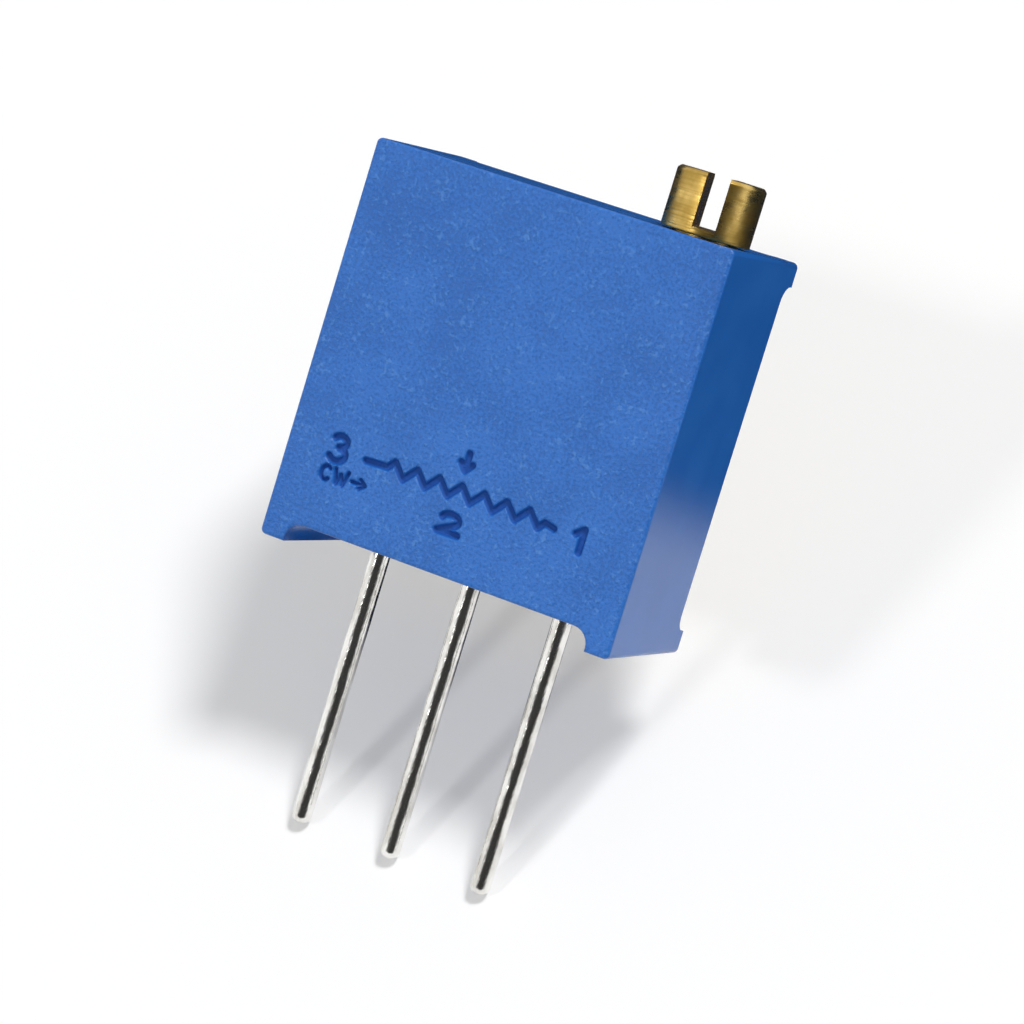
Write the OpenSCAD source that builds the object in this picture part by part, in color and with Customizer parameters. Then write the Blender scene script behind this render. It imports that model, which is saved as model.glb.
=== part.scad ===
// Square multiturn trimmer potentiometer with three in-line pins, adjusted from the top.
// Origin: where the middle pin crosses the seating plane. +Z points to the screw, -Y to the
// marked face. The moulded cup opens at the back, where potting compound closes it.

/* [Body] */
// Width of the square moulded body, which is also its height above the rails
body_w = 9.53; // [9.3:0.01:10]
// Depth of the body, from the marked face to the ends of the back feet
body_d = 4.83; // [4.6:0.01:5.2]
// Radius of the body's four long corners
corner_r = 0.14; // [0.05:0.01:0.3]
// Height of the two rails under the pin side
rail_h = 0.5; // [0.3:0.01:0.6]
// Width of each rail's flat foot
rail_w = 0.65; // [0.4:0.01:0.9]
// Height of the four corner feet on the back
back_foot_h = 0.5; // [0.3:0.01:0.6]
// Width of the four corner feet on the back
back_foot_w = 0.6; // [0.5:0.01:1.2]
// Radius of the fillets where rails and feet meet the body
foot_fillet = 0.42; // [0.1:0.01:0.5]
// Thickness of the moulded side walls
side_wall = 0.6; // [0.45:0.01:0.7]
// Thickness of the wall behind the marked face, under the gear pocket
front_wall = 0.6; // [0.4:0.01:0.7]

/* [Terminals] */
// Distance from the marked face to the row of pins
pin_from_front = 2.41; // [2.38:0.01:2.5]
// Distance between neighbouring pins
pin_pitch = 2.54; // [2.4:0.01:2.6]
// Diameter of the round pins
pin_d = 0.51; // [0.4:0.01:0.56]
// Length of the pins below the seating plane
pin_len = 6.9; // [3:0.05:12]
// Chamfer at each pin's tip
pin_chamfer = 0.07; // [0.02:0.01:0.12]
// Width and thickness of the coined stem inside the notch
stem_w = 0.4; // [0.3:0.01:0.4]
// How far the round wire runs into its notch
wire_in = 0.1; // [0.05:0.01:0.14]
// Width of the fork that grips the ceramic
fork_w = 0.7; // [0.5:0.01:0.9]
// Thickness of the fork's two tines
tine_t = 0.14; // [0.1:0.01:0.18]
// Width of the fork's two tines
tine_w = 0.4; // [0.3:0.01:0.5]
// Height of the tines above the ceramic's lower edge
tine_h = 0.75; // [0.4:0.01:0.8]
// Room under the ceramic for the closed end of the fork
fork_base_h = 0.25; // [0.15:0.01:0.35]
// Clearance between a pin and its notch in the rim
notch_gap = 0.045; // [0.03:0.005:0.1]

/* [Screw] */
// Distance from the screw's axis to the side of the body
screw_from_side = 1.27; // [1.25:0.01:1.4]
// Distance from the screw's axis to the marked face
screw_from_front = 1.27; // [1.22:0.01:1.28]
// Diameter of the slotted head
head_d = 2.19; // [1.9:0.01:2.4]
// Height of the head's top above the body
head_rise = 1.52; // [1.2:0.01:2]
// Running gap under the head
head_gap = 0.05; // [0.03:0.01:0.1]
// Chamfer around the head's top
head_chamfer = 0.08; // [0.03:0.01:0.15]
// Width of the screwdriver slot
slot_w = 0.56; // [0.4:0.01:0.7]
// Depth of the screwdriver slot
slot_depth = 1.3; // [0.6:0.01:1.4]
// Angle of the slot from the depth direction, at mid travel
slot_angle = 15; // [-90:1:90]
// Diameter of the shank
shank_d = 1.6; // [1.58:0.01:1.61]
// Radial running clearance of the shank and the end journal
run_gap = 0.02; // [0.01:0.005:0.03]
// Diameter of the journal at the lower end
journal_d = 0.84; // [0.6:0.01:0.94]
// Length of the journal below the worm
journal_len = 0.75; // [0.4:0.01:1]
// Depth from the body's top to the middle of the seal
seal_depth = 0.7; // [0.6:0.01:0.8]
// Thickness of the seal ring's cord
seal_cord_d = 0.28; // [0.2:0.01:0.28]
// Diameter at the bottom of the seal groove
seal_root_d = 1; // [0.9:0.01:1]
// Clearance of the seal ring in its groove, above and below
seal_gap = 0.04; // [0.02:0.01:0.08]
// Depth from the body's top to the middle of the retaining clip
clip_depth = 1.4; // [1.3:0.01:1.5]
// Thickness of the retaining clip
clip_t = 0.2; // [0.12:0.01:0.25]
// Width across the retaining clip's legs
clip_w = 1.26; // [1.1:0.01:1.28]
// Diameter of the screw's neck inside the clip
neck_d = 0.8; // [0.7:0.01:0.85]
// Clearance of the clip in its slot
clip_gap = 0.03; // [0.02:0.005:0.05]
// Height of the closed collar that carries the screw at the top
collar_h = 1.83; // [1.7:0.01:1.9]
// Thickness of the collar beside the screw's bore
collar_side = 0.3; // [0.2:0.01:0.4]
// Thickness of the collar behind the screw's bore
collar_back = 0.65; // [0.5:0.01:0.8]
// How far the retaining clip runs past the bore
clip_tail = 0.5; // [0.3:0.01:0.6]

/* [Gear pair] */
// Teeth on the worm wheel
teeth = 33; // [30:1:36]
// Pitch radius of the worm
worm_pitch_r = 0.66; // [0.65:0.01:0.67]
// Height of the teeth above the pitch circles
addendum = 0.12; // [0.1:0.01:0.13]
// Clearance between tooth tips and roots
tip_gap = 0.03; // [0.02:0.005:0.04]
// Slope of the worm's flanks, in degrees
flank_angle = 20; // [18:1:22]
// Thickness of the worm's thread at the pitch radius
thread_t = 0.24; // [0.2:0.01:0.25]
// Free play between the flanks
backlash = 0.065; // [0.05:0.005:0.08]
// Length of the worm
worm_len = 3.2; // [2.8:0.1:3.4]
// Thickness of the wheel
wheel_t = 1; // [0.8:0.01:1]
// Radius of the wheel's hub on the side of the marked face
hub_r = 1.1; // [0.8:0.01:1.5]
// Running gap between the wheel's hub and the pocket's floor
hub_gap = 0.03; // [0.02:0.01:0.05]
// Radius of the pivot boss in the housing, as a share of the gear pocket's
boss_share = 0.181; // [0.15:0.001:0.2]
// How far the boss ends short of the wheel's far side
boss_drop = 0.06; // [0.02:0.01:0.1]
// Clearance around the wheel in its pocket
pocket_gap = 0.08; // [0.05:0.01:0.12]
// Clearance around the worm in its bay
bay_gap = 0.04; // [0.03:0.01:0.05]
// Straight steps that stand for one turn of the worm's thread
worm_steps = 14; // [12:1:20]

/* [Wiper] */
// Thickness of the wiper's spring strip
strip_t = 0.08; // [0.05:0.01:0.1]
// Outer radius of the wiper's base ring, as a share of the resistance track's middle radius
base_share = 0.667; // [0.6:0.001:0.7]
// Clearance of the base ring around the pivot boss
base_gap = 0.08; // [0.05:0.01:0.1]
// Width that is left of the base ring beside the window for the inner fingers
base_rim = 0.16; // [0.12:0.01:0.2]
// Width of one contact finger
finger_w = 0.14; // [0.1:0.01:0.15]
// Distance between neighbouring contact fingers
finger_pitch = 0.2; // [0.18:0.01:0.22]
// Length of the flat end of a finger that slides on its film
contact_len = 0.08; // [0.05:0.01:0.12]
// Radius of the stakes that hold the wiper
stake_r = 0.13; // [0.1:0.01:0.15]
// Radius of the flattened heads of the stakes
stake_head_r = 0.22; // [0.18:0.01:0.25]
// Clearance between the wiper and its stakes
stake_gap = 0.01; // [0.005:0.005:0.02]
// Gap between the fingers and the film that they slide on
contact_gap = 0.01; // [0.005:0.005:0.02]

/* [Element] */
// Thickness of the ceramic
ceramic_t = 0.6; // [0.5:0.01:0.635]
// Gap between the ceramic and the cup's side walls
ceramic_gap = 0.16; // [0.1:0.01:0.3]
// Gap between the ceramic and the screw's collar
ceramic_top_gap = 0.1; // [0.05:0.01:0.3]
// Thickness of the printed films
film_t = 0.04; // [0.02:0.01:0.05]
// Middle radius of the resistance track, as a share of the gear pocket's radius
track_share = 0.741; // [0.7:0.001:0.78]
// Width of the resistance track
track_w = 0.6; // [0.4:0.01:0.7]
// Angle that the resistance track runs through
track_angle = 280; // [260:1:290]
// Middle radius of the collector ring, as a share of the resistance track's
collector_share = 0.445; // [0.4:0.005:0.5]
// Width of the collector ring and its lead
collector_w = 0.5; // [0.4:0.01:0.6]
// Width of the film pads under the tines
pad_w = 0.9; // [0.7:0.01:1]
// Height of the film pads under the tines
pad_h = 1; // [0.85:0.01:1.05]
// Radius of a solder joint at its foot
solder_r = 0.38; // [0.35:0.01:0.4]
// Height of a solder joint above the film
solder_h = 0.24; // [0.2:0.01:0.25]
// Height of the solder joints' middle above the ceramic's lower edge
solder_at = 0.48; // [0.45:0.01:0.55]
// Clearance of the housing around the films
film_gap = 0.02; // [0.01:0.01:0.05]
// Clearance of the housing around the tines and their solder
relief_gap = 0.05; // [0.03:0.01:0.1]
// Clearance between the forks and the cup's floor
fork_gap = 0.02; // [0.01:0.01:0.05]
// Depth of the potting compound below the cup's rim
potting_drop = 0.06; // [0.02:0.01:0.15]

/* [Hidden] */
$fn = 48;

// A cutting tool runs this far past the face that it leaves
past = 0.1;
// Pieces that become one solid run this far into each other
lap = 0.04;
// Straight pieces that stand for a quarter of a moulded round
arc_steps = 6;

front_y = -pin_from_front;
back_y = front_y + body_d;
rim_y = back_y - back_foot_h;
body_h = body_w;
top_z = rail_h + body_h;
half_w = body_w / 2;
pin_r = pin_d / 2;
pin_x = [pin_pitch, 0, -pin_pitch];

cup_half_w = half_w - side_wall;
cup_z0 = rail_h + side_wall;
cup_z1 = top_z - side_wall;
ledge_y = -ceramic_t / 2;
floor_y = front_y + front_wall;
collar_z0 = top_z - collar_h;

screw_x = half_w - screw_from_side;
screw_y = front_y + screw_from_front;
shank_r = shank_d / 2;
bore_r = shank_r + run_gap;
journal_r = journal_d / 2;
head_z1 = top_z + head_rise;
head_z0 = top_z + head_gap;
seal_z = top_z - seal_depth;
seal_root_r = seal_root_d / 2;
seal_half = seal_cord_d / 2 + seal_gap;
clip_z = top_z - clip_depth;
neck_r = neck_d / 2;
neck_half = clip_t / 2 + clip_gap;
collar_x0 = screw_x - bore_r - collar_side;
collar_y1 = screw_y + bore_r + collar_back;

wheel_z = rail_h + body_h / 2;
wheel_pitch_r = screw_x - worm_pitch_r;
wheel_tip_r = wheel_pitch_r + addendum;
wheel_root_r = wheel_pitch_r - addendum - tip_gap;
worm_tip_r = worm_pitch_r + addendum;
worm_root_r = worm_pitch_r - addendum - tip_gap;
worm_pitch = 2 * PI * wheel_pitch_r / teeth;
lead_angle = atan(worm_pitch / (2 * PI * worm_pitch_r));
worm_z0 = wheel_z - worm_len / 2;
worm_z1 = wheel_z + worm_len / 2;
journal_z0 = worm_z0 - journal_len;
wheel_y0 = screw_y - wheel_t / 2;
wheel_y1 = screw_y + wheel_t / 2;
boss_y1 = wheel_y1 - boss_drop;
pocket_r = wheel_tip_r + pocket_gap;
bay_r = shank_r + bay_gap;
boss_r = pocket_r * boss_share;
track_r = pocket_r * track_share;
collector_r = track_r * collector_share;
base_r = track_r * base_share;
stake_at = (boss_r + base_gap + base_r) / 2;

ceramic_half_w = cup_half_w - ceramic_gap;
ceramic_z0 = cup_z0 + fork_base_h;
ceramic_z1 = collar_z0 - ceramic_top_gap;
film_y = ledge_y - film_t;
tine_z1 = ceramic_z0 + tine_h;
solder_z = ceramic_z0 + solder_at;
relief_w = pad_w + 2 * relief_gap;
relief_y = film_y - solder_h - relief_gap;
relief_z1 = ceramic_z0 + pad_h;
notch_r = pin_r + notch_gap;
// Direction from the wheel's axis to the right-hand end of the resistance track
track_end = -90 + (360 - track_angle) / 2;

// Points along an arc in the plane, from angle a0 to angle a1
function arc(cx, cy, r, a0, a1, steps = arc_steps) =
    [for (i = [0 : steps]) let (a = a0 + (a1 - a0) * i / steps) [cx + r * cos(a), cy + r * sin(a)]];

// A rectangle with rounded corners, from (-w/2, 0) to (w/2, h)
function rounded_rect(w, h, r) = concat(
    arc(w / 2 - r, r, r, -90, 0), arc(w / 2 - r, h - r, r, 0, 90),
    arc(r - w / 2, h - r, r, 90, 180), arc(r - w / 2, r, r, 180, 270));

// The hollow between two feet: w wide and h deep, filleted where it meets the body
function arch(w, h, r) = concat(
    [[w / 2, -past]], arc(w / 2 - r, h - r, r, 0, 90),
    arc(r - w / 2, h - r, r, 90, 180), [[-w / 2, -past]]);

// Radius of the worm at an angle from the middle of its thread, in a section across the axis
function worm_r(a) =
    let (s = abs(a) * worm_pitch / 360, crest = thread_t / 2 - addendum * tan(flank_angle))
    max(worm_root_r, min(worm_tip_r, worm_tip_r - (s - crest) / tan(flank_angle)));

// Extrudes an outline in X and Z from y0 to y1
module along_y(y0, y1) {
    translate([0, y1, 0]) rotate([90, 0, 0]) linear_extrude(y1 - y0) children();
}

// Extrudes an outline in Y and Z from x0 to x1
module along_x(x0, x1) {
    translate([x0, 0, 0]) rotate([90, 0, 90]) linear_extrude(x1 - x0) children();
}

// A box given by its lowest and highest corners
module span(low, high) {
    translate(low) cube(high - low);
}

// Places children on the screw's axis
module on_screw() {
    translate([screw_x, screw_y, 0]) children();
}

// The block that carries the screw's closed bore, inside the cup
module collar_block(grow = 0) {
    span([collar_x0, ledge_y - grow, collar_z0], [cup_half_w + grow, collar_y1, cup_z1 + grow]);
}

// The room behind the ledge, which the ceramic and the potting compound fill
module cup_room(y1) {
    difference() {
        span([-cup_half_w, ledge_y, cup_z0], [cup_half_w, y1, cup_z1]);
        collar_block(past);
    }
}

// The moulded block with its rails and feet, before the inside is taken out
module outer_form() {
    difference() {
        along_y(front_y, back_y) polygon(rounded_rect(body_w, top_z, corner_r));
        along_y(front_y - past, back_y + past)
            polygon(arch(body_w - 2 * rail_w, rail_h, foot_fillet));
        translate([0, back_y, -past]) rotate([0, 0, 180])
            linear_extrude(top_z + 2 * past)
            polygon(arch(body_w - 2 * back_foot_w, back_foot_h, foot_fillet));
        along_x(-half_w - past, half_w + past)
            translate([back_y, top_z / 2]) rotate(90)
            polygon(arch(top_z - 2 * back_foot_w, back_foot_h, foot_fillet));
    }
}

// The pocket that the wheel turns in, around its pivot boss
module gear_pocket() {
    difference() {
        along_y(floor_y, ledge_y + past) translate([0, wheel_z]) circle(pocket_r);
        along_y(floor_y - past, boss_y1) translate([0, wheel_z]) circle(boss_r);
    }
}

// The bore through the top, the open bay beside the wheel and the blind hole for the journal
module screw_space() {
    on_screw() {
        translate([0, 0, collar_z0 - past]) cylinder(h = collar_h + 2 * past, r = bore_r);
        translate([0, 0, worm_z0 - past]) cylinder(h = collar_z0 - worm_z0 + past, r = bay_r);
        translate([0, 0, journal_z0 - past]) cylinder(h = journal_len + past, r = journal_r + run_gap);
    }
    span([screw_x - bay_r, screw_y, worm_z0 - past], [screw_x + bay_r, ledge_y + past, collar_z0]);
}

// The slot that the retaining clip is pushed into from the back
module clip_slot() {
    half_slot = clip_w / 2 + clip_gap;
    half_height = clip_t / 2 + clip_gap / 2;
    span([screw_x - half_slot, screw_y - neck_r - clip_gap, clip_z - half_height],
         [screw_x + half_slot, collar_y1 + past, clip_z + half_height]);
}

// For one pin: the notch in the rim and the recess for the tine and its solder
module pin_space(x) {
    translate([x, 0, rail_h - past]) cylinder(h = side_wall + 2 * past, r = notch_r);
    span([x - notch_r, 0, rail_h - past], [x + notch_r, rim_y + past, cup_z0 + past]);
    span([x - relief_w / 2, relief_y, cup_z0], [x + relief_w / 2, ledge_y + past, relief_z1]);
}

// The shallow hollow in the ledge that keeps the housing off the end pads
module film_space() {
    half = pin_pitch + relief_w / 2;
    span([-half, film_y - film_gap, cup_z0], [half, ledge_y + past, wheel_z - track_r + track_w / 2]);
}

module housing() {
    color([0.16, 0.36, 0.78])
    difference() {
        outer_form();
        cup_room(back_y + past);
        gear_pocket();
        screw_space();
        clip_slot();
        film_space();
        for (x = pin_x) pin_space(x);
    }
}

// The thread, swept up the axis; the middle of its crest faces the wheel at the wheel's height
module worm() {
    swept = worm_len + 2 * lap;
    turns = swept / worm_pitch;
    crest = 360 / worm_pitch * (thread_t / 2 - addendum * tan(flank_angle));
    foot = 360 / worm_pitch * (thread_t / 2 + (addendum + tip_gap) * tan(flank_angle));
    angles = concat([for (i = [-1 : 1]) crest * i],
                    [for (i = [1 : 3]) crest + (foot - crest) * i / 3],
                    [for (i = [1 : 3]) foot + (360 - 2 * foot) * i / 4],
                    [for (i = [3 : -1 : 1]) 360 - crest - (foot - crest) * i / 3]);
    translate([0, 0, worm_z0 - lap])
        linear_extrude(swept, twist = -360 * turns, slices = ceil(turns * worm_steps),
                       $fn = 0, $fa = 30, $fs = 1)
        rotate(180 - 180 * turns)
        polygon([for (a = angles) worm_r(a > 180 ? a - 360 : a) * [cos(a), sin(a)]]);
}

module adjusting_screw() {
    color([0.80, 0.62, 0.26])
    on_screw() {
        difference() {
            rotate_extrude() polygon([
                [0, worm_z1], [shank_r, worm_z1],
                [shank_r, clip_z - neck_half], [neck_r, clip_z - neck_half],
                [neck_r, clip_z + neck_half], [shank_r, clip_z + neck_half],
                [shank_r, seal_z - seal_half], [seal_root_r, seal_z - seal_half],
                [seal_root_r, seal_z + seal_half], [shank_r, seal_z + seal_half],
                [shank_r, head_z0], [head_d / 2, head_z0],
                [head_d / 2, head_z1 - head_chamfer], [head_d / 2 - head_chamfer, head_z1],
                [0, head_z1]]);
            rotate([0, 0, slot_angle])
                translate([-slot_w / 2, -head_d, head_z1 - slot_depth])
                cube([slot_w, 2 * head_d, slot_depth + past]);
        }
        worm();
        translate([0, 0, journal_z0]) cylinder(h = journal_len + lap, r = journal_r);
    }
}

module screw_seal() {
    ring_r = (seal_root_r + shank_r) / 2;
    color([0.10, 0.10, 0.11])
    on_screw() translate([0, 0, seal_z])
        rotate_extrude() translate([ring_r, 0]) circle(seal_cord_d / 2);
}

// A flat U that straddles the screw's neck, open towards the marked face
module screw_retainer() {
    inner_r = neck_r + run_gap;
    color([0.75, 0.76, 0.78])
    on_screw() translate([0, 0, clip_z - clip_t / 2])
        linear_extrude(clip_t)
        difference() {
            translate([-clip_w / 2, -neck_r]) square([clip_w, neck_r + bore_r + clip_tail]);
            circle(inner_r);
            translate([-inner_r, -neck_r - past]) square([2 * inner_r, neck_r + past]);
        }
}

// One gap between two teeth, cut square across the wheel and then turned to the worm's lead
module tooth_gap() {
    half_gap = (thread_t + backlash) / 2;
    slope = tan(flank_angle + 180 / teeth);
    over = addendum + past;
    under = addendum + tip_gap;
    translate([wheel_pitch_r, 0, 0]) rotate([-lead_angle, 0, 0])
        along_y(-wheel_t, wheel_t)
        polygon([[-under, -half_gap + slope * under], [over, -half_gap - slope * over],
                 [over, half_gap + slope * over], [-under, half_gap - slope * under]]);
}

module worm_wheel() {
    color([0.90, 0.89, 0.84])
    translate([0, 0, wheel_z])
    difference() {
        union() {
            difference() {
                along_y(wheel_y0, wheel_y1) circle(wheel_tip_r, $fn = 96);
                for (i = [0 : teeth - 1])
                    translate([0, screw_y, 0]) rotate([0, -360 * i / teeth, 0]) tooth_gap();
            }
            along_y(floor_y + hub_gap, wheel_y0 + past) circle(hub_r);
            for (side = [-1, 1]) translate([side * stake_at, 0, 0]) {
                along_y(wheel_y1 - past, wheel_y1 + 2 * strip_t) circle(stake_r);
                along_y(wheel_y1 + strip_t + stake_gap, wheel_y1 + 2 * strip_t) circle(stake_head_r);
            }
        }
        along_y(floor_y, wheel_y1 + past) circle(boss_r + run_gap);
    }
}

// One spring finger, in Y and Z: it leaves the base at z0 and touches the film at z1
module finger(x, z0, z1) {
    lift = film_y - contact_gap - wheel_y1 - strip_t;
    knee = z1 - sign(z1 - z0) * contact_len;
    along_x(x - finger_w / 2, x + finger_w / 2)
        polygon([[wheel_y1, z0], [wheel_y1 + strip_t, z0],
                 [wheel_y1 + strip_t + lift, knee],
                 [wheel_y1 + strip_t + lift, z1],
                 [wheel_y1 + lift, z1],
                 [wheel_y1 + lift, knee]]);
}

module wiper_spring() {
    root = base_r - base_rim / 2;
    color([0.86, 0.78, 0.55])
    translate([0, 0, wheel_z]) {
        difference() {
            along_y(wheel_y1, wheel_y1 + strip_t) circle(base_r);
            along_y(wheel_y1 - past, wheel_y1 + strip_t + past) {
                circle(boss_r + base_gap);
                for (side = [-1, 1]) translate([side * stake_at, 0]) circle(stake_r + stake_gap);
                translate([-1.5 * finger_pitch, base_rim - base_r])
                    square([3 * finger_pitch, base_r - base_rim]);
            }
        }
        for (i = [-1 : 1]) finger(i * finger_pitch, root, track_r + contact_len);
        for (i = [-0.5, 0.5]) finger(i * finger_pitch, -root, -collector_r + contact_len);
    }
}

module ceramic_substrate() {
    color([0.93, 0.93, 0.90])
    span([-ceramic_half_w, ledge_y, ceramic_z0], [ceramic_half_w, -ledge_y, ceramic_z1]);
}

// A printed film: an outline in X and Z around the wheel's axis, on the ceramic's front
module film() {
    translate([0, 0, wheel_z]) along_y(film_y, ledge_y) children();
}

module resistance_track() {
    reach = 2 * track_r;
    color([0.20, 0.20, 0.22])
    film() difference() {
        circle(track_r + track_w / 2);
        circle(track_r - track_w / 2);
        polygon([[0, 0], reach * [cos(track_end), sin(track_end)],
                 reach * [-cos(track_end), sin(track_end)]]);
    }
}

module collector_track() {
    color([0.72, 0.71, 0.66])
    film() difference() {
        union() {
            circle(collector_r + collector_w / 2);
            translate([-collector_w / 2, ceramic_z0 - wheel_z])
                square([collector_w, wheel_z - ceramic_z0 - collector_r]);
            translate([-pad_w / 2, ceramic_z0 - wheel_z]) square([pad_w, pad_h]);
        }
        circle(collector_r - collector_w / 2);
    }
}

// The conductor from one end of the resistance track down to its pin; side is 1 or -1
module end_pad(side) {
    inner = (track_r - track_w / 2) * [cos(track_end), sin(track_end)];
    outer = (track_r + track_w / 2) * [cos(track_end), sin(track_end)];
    low = ceramic_z0 - wheel_z;
    left = pin_pitch - pad_w / 2;
    right = pin_pitch + pad_w / 2;
    color([0.72, 0.71, 0.66])
    film() polygon([for (p = [inner, [left, low], [right, low], [right, low + pad_h], outer])
                    [side * p[0], p[1]]]);
}

module end_pad_1() end_pad(1);
module end_pad_3() end_pad(-1);

// The part of a terminal inside the cup: stem, closed end of the fork and two tines
module terminal_head(x) {
    fork_z0 = cup_z0 + fork_gap;
    front = film_y - tine_t;
    back = -ledge_y + tine_t;
    span([x - stem_w / 2, -stem_w / 2, rail_h + wire_in - lap], [x + stem_w / 2, stem_w / 2, ceramic_z0]);
    span([x - fork_w / 2, front, fork_z0], [x + fork_w / 2, back, ceramic_z0]);
    span([x - tine_w / 2, front, ceramic_z0 - lap], [x + tine_w / 2, film_y, tine_z1]);
    span([x - tine_w / 2, -ledge_y, ceramic_z0 - lap], [x + tine_w / 2, back, tine_z1]);
}

module terminal(x) {
    color([0.78, 0.79, 0.78]) {
        translate([x, 0, 0]) rotate_extrude() polygon([
            [0, -pin_len], [pin_r - pin_chamfer, -pin_len], [pin_r, -pin_len + pin_chamfer],
            [pin_r, rail_h + wire_in], [0, rail_h + wire_in]]);
        terminal_head(x);
    }
}

module terminal_1() terminal(pin_x[0]);
module terminal_2() terminal(pin_x[1]);
module terminal_3() terminal(pin_x[2]);

// Solder over the front tine, on its film pad
module solder_joint(x) {
    color([0.66, 0.67, 0.69])
    difference() {
        translate([x, film_y, solder_z]) rotate([90, 0, 0])
            cylinder(h = solder_h, r1 = solder_r, r2 = solder_r / 2);
        span([x - tine_w / 2, film_y - tine_t, ceramic_z0 - past],
             [x + tine_w / 2, film_y + past, tine_z1]);
    }
}

module solder_joint_1() solder_joint(pin_x[0]);
module solder_joint_2() solder_joint(pin_x[1]);
module solder_joint_3() solder_joint(pin_x[2]);

module epoxy_seal() {
    epoxy_y1 = rim_y - potting_drop;
    notch_y0 = pin_r + notch_gap;
    color([0.80, 0.74, 0.58])
    difference() {
        union() {
            cup_room(epoxy_y1);
            for (x = pin_x)
                span([x - notch_r, notch_y0, rail_h + potting_drop],
                     [x + notch_r, epoxy_y1, cup_z0 + past]);
        }
        span([-ceramic_half_w, ledge_y - past, ceramic_z0], [ceramic_half_w, -ledge_y, ceramic_z1]);
        for (x = pin_x) terminal_head(x);
    }
}

housing();
adjusting_screw();
screw_seal();
screw_retainer();
worm_wheel();
wiper_spring();
ceramic_substrate();
resistance_track();
collector_track();
end_pad_1();
end_pad_3();
terminal_1();
terminal_2();
terminal_3();
solder_joint_1();
solder_joint_2();
solder_joint_3();
epoxy_seal();
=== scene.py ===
# %% [markdown]
# # A square trimmer potentiometer, dressed for the camera
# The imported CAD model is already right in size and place. This lesson gives it the looks of
# the real thing: moulded blue plastic with engraved marks, a turned brass screw, hot-dipped
# tin pins and cast resin at the back. All lengths below are in millimetres, as in the part's
# source, and become metres only when a mesh is written.

# %% Load the CAD frame
import math

import bmesh
import bpy
import numpy as np
from mathutils import Matrix, Vector
from mathutils.geometry import delaunay_2d_cdt


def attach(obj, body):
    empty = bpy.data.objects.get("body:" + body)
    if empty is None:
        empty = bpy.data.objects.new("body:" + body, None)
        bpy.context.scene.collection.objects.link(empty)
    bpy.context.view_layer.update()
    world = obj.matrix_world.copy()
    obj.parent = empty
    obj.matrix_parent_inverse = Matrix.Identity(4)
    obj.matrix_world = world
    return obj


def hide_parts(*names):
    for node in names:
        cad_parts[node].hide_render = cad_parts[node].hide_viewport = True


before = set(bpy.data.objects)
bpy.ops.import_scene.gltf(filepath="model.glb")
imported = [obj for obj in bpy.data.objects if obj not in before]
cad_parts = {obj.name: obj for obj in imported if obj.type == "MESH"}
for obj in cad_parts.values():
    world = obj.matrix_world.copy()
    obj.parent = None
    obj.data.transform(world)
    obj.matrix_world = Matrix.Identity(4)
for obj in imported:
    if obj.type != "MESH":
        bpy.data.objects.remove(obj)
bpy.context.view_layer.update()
scene = bpy.context.scene
MM = 0.001

# %% [markdown]
# Each CAD node is a mesh in metres with its origin at the frame's own origin. The new pieces
# take their main sizes from the boxes around these nodes, so that they fit the model that they
# dress.


# %% Measure the CAD nodes
def node_box(node):
    """The lowest and the highest corner of a CAD node, in mm."""
    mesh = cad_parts[node].data
    points = np.empty(3 * len(mesh.vertices), np.float32)
    mesh.vertices.foreach_get("co", points)
    points = points.reshape(-1, 3).astype(float) / MM
    return points.min(axis=0).round(4).tolist(), points.max(axis=0).round(4).tolist()


case_low, case_high = node_box("housing")
print("housing from", case_low, "to", case_high)

# %% [markdown]
# ## The camera
# The photograph was taken from a little above the marked face and about 21 degrees to its
# right, from some 9 cm away. The same place keeps the same perspective. The small part filled
# only a fifth of that picture, so a longer lens aimed at it takes the place of a crop, and the
# camera is rolled so that the part leans to the right as it does there.

# %% Place the camera
camera_at = np.array([32.2, -82.2, 12.5])
camera_up = np.array([-0.256, -0.144, 0.956])
aim_at = np.array([0.45, 0.0, 2.25])
focal_length = 128.0


def unit(v):
    """v divided by its own length."""
    v = np.asarray(v, float)
    return v / np.linalg.norm(v)


look = unit(aim_at - camera_at)
right = unit(np.cross(look, camera_up))
camera = bpy.data.objects.new("camera", bpy.data.cameras.new("camera"))
camera.matrix_world = Matrix.Translation(camera_at * MM) @ Matrix(
    np.column_stack([right, np.cross(right, look), -look])).to_4x4()
camera.data.lens = focal_length
camera.data.clip_start = MM
scene.collection.objects.link(camera)
scene.camera = camera
print("camera distance in mm:", round(float(np.linalg.norm(aim_at - camera_at)), 1))

# %% [markdown]
# ## The moulded case
# The case is a thin cup of glass-filled plastic. Its edges are a little round, and its front face
# carries engraved marks. Inside it has a cup, a gear pocket and bores. They could be modelled
# again, but a copy of the CAD solid keeps them exactly. Its mesh comes from the CAD as loose
# triangles, so the copy is merged into one skin and its flat faces are joined again.


# %% Copy a CAD solid
def cad_copy(node, merge_below=1e-3, flat_below=0.5):
    """A bmesh copy of a CAD node in mm: points nearer than merge_below become one, and faces
    that turn by less than flat_below degrees are joined."""
    work = bmesh.new()
    work.from_mesh(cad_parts[node].data)
    bmesh.ops.scale(work, vec=(1 / MM,) * 3, verts=work.verts)
    bmesh.ops.remove_doubles(work, verts=work.verts, dist=merge_below)
    bmesh.ops.dissolve_limit(work, angle_limit=math.radians(flat_below), verts=work.verts,
                             edges=work.edges, delimit={"NORMAL"})
    return work


# %% [markdown]
# A mould leaves no sharp edge: here the edges of the marked face are rounded by a tenth of a
# millimetre, and the other outer edges by less. A Bevel modifier would round the bores and the
# pocket too, so the edges are chosen by their place and rounded on the merged copy.

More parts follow.
